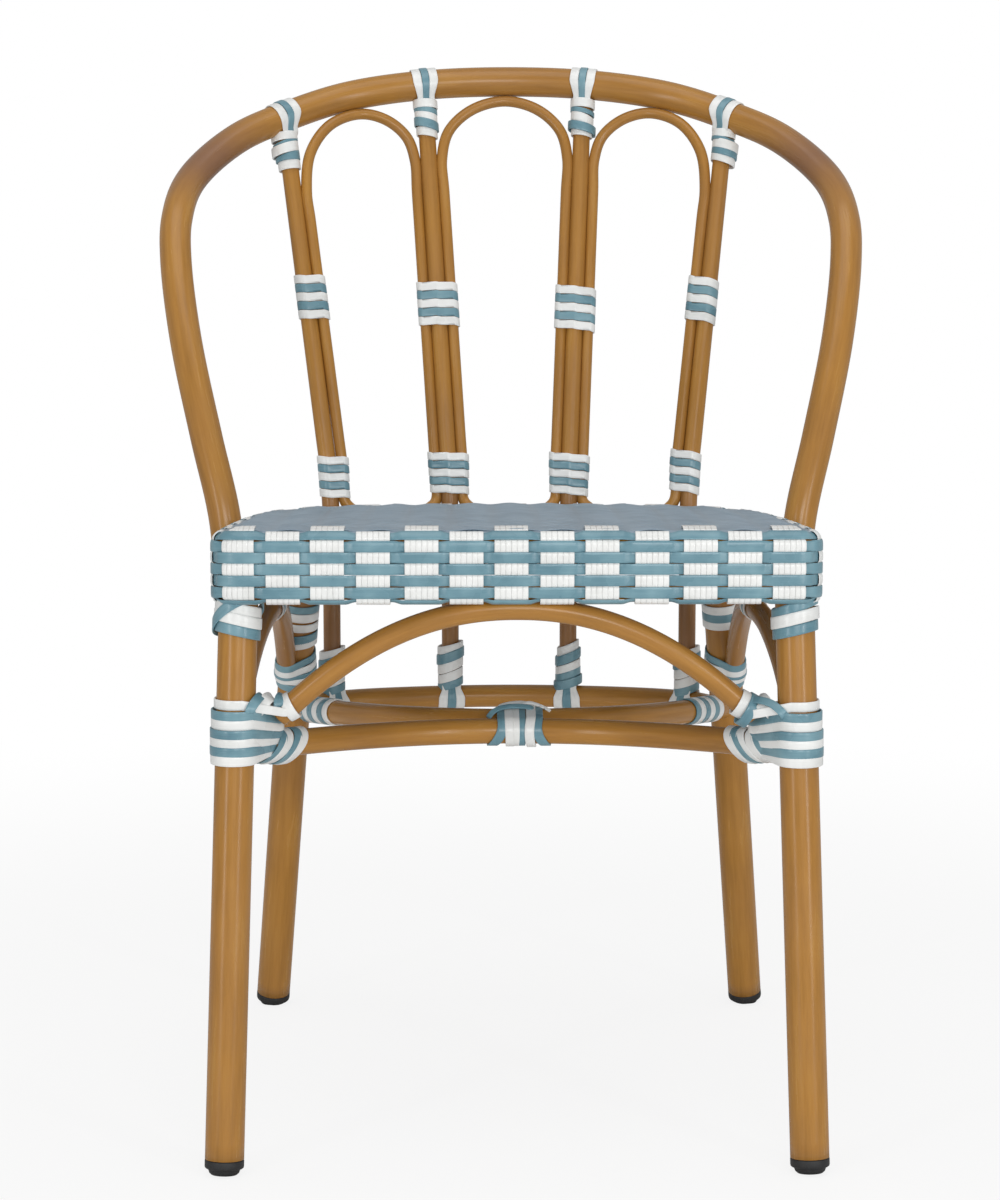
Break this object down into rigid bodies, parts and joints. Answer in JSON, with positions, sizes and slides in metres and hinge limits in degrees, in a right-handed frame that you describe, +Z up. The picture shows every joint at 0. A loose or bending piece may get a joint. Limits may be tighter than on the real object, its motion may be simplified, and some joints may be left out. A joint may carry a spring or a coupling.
{
  "type": "bistro armchair",
  "caption": "Cafe armchair of round tube with a bent back hoop, thin upright rods, a woven seat, bowed stretchers and wound strip joints.",
  "frame": {"origin": "on the floor, under the middle of the overall box", "axes": "+Z up, the chair faces -Y, +X to the right of a person who looks at its front"},
  "size_m": [0.5606, 0.5668, 0.798],
  "materials": {
    "painted_tube": "glossy golden brown paint with darker streaks",
    "white_strip": "smooth flat strip",
    "blue_strip": "smooth flat strip",
    "woven_blue": "plain weave of strips",
    "woven_grey": "fine plain weave of strips",
    "rubber": "matt"
  },
  "bodies": {
    "root": {"front_leg_left": "painted_tube", "rear_leg_left": "painted_tube", "front_foot_left": "rubber", "rear_foot_left": "rubber", "side_arch_left": "painted_tube", "front_leg_top_lashing_left": "blue_strip", "rear_leg_top_lashing_left": "white_strip", "front_joint_lashing_left": "white_strip", "front_bow_lashing_left": "blue_strip", "rear_bow_lashing_left": "white_strip", "rear_joint_lashing_left": "white_strip", "arch_top_lashing_left": "white_strip", "front_leg_right": "painted_tube", "rear_leg_right": "painted_tube", "front_foot_right": "rubber", "rear_foot_right": "rubber", "side_arch_right": "painted_tube", "front_leg_top_lashing_right": "blue_strip", "rear_leg_top_lashing_right": "white_strip", "front_joint_lashing_right": "white_strip", "front_bow_lashing_right": "blue_strip", "rear_bow_lashing_right": "white_strip", "rear_joint_lashing_right": "white_strip", "arch_top_lashing_right": "white_strip", "back_hoop": "painted_tube", "back_post_1": "painted_tube", "upper_lashing_1": "white_strip", "lower_lashing_1": "white_strip", "hoop_lashing_1": "white_strip", "post_foot_lashing_1": "white_strip", "back_post_2": "painted_tube", "upper_lashing_2": "blue_strip", "lower_lashing_2": "blue_strip", "hoop_lashing_2": "white_strip", "post_foot_lashing_2": "white_strip", "back_post_3": "painted_tube", "upper_lashing_3": "white_strip", "lower_lashing_3": "white_strip", "hoop_lashing_3": "white_strip", "post_foot_lashing_3": "white_strip", "back_post_4": "painted_tube", "upper_lashing_4": "blue_strip", "lower_lashing_4": "blue_strip", "hoop_lashing_4": "white_strip", "post_foot_lashing_4": "white_strip", "back_rod_left": "painted_tube", "back_rod_centre": "painted_tube", "back_rod_right": "painted_tube", "rear_stretcher": "painted_tube", "front_bow_stretcher": "painted_tube", "rear_bow_stretcher": "painted_tube", "front_arch": "painted_tube", "centre_lashing": "white_strip", "seat_rail": "painted_tube", "border_rod_front": "painted_tube", "border_rod_rear": "painted_tube", "seat_cross_bar": "painted_tube", "seat_border_weave": "woven_blue", "seat_top_weave": "woven_grey"}
  },
  "joints": []
}
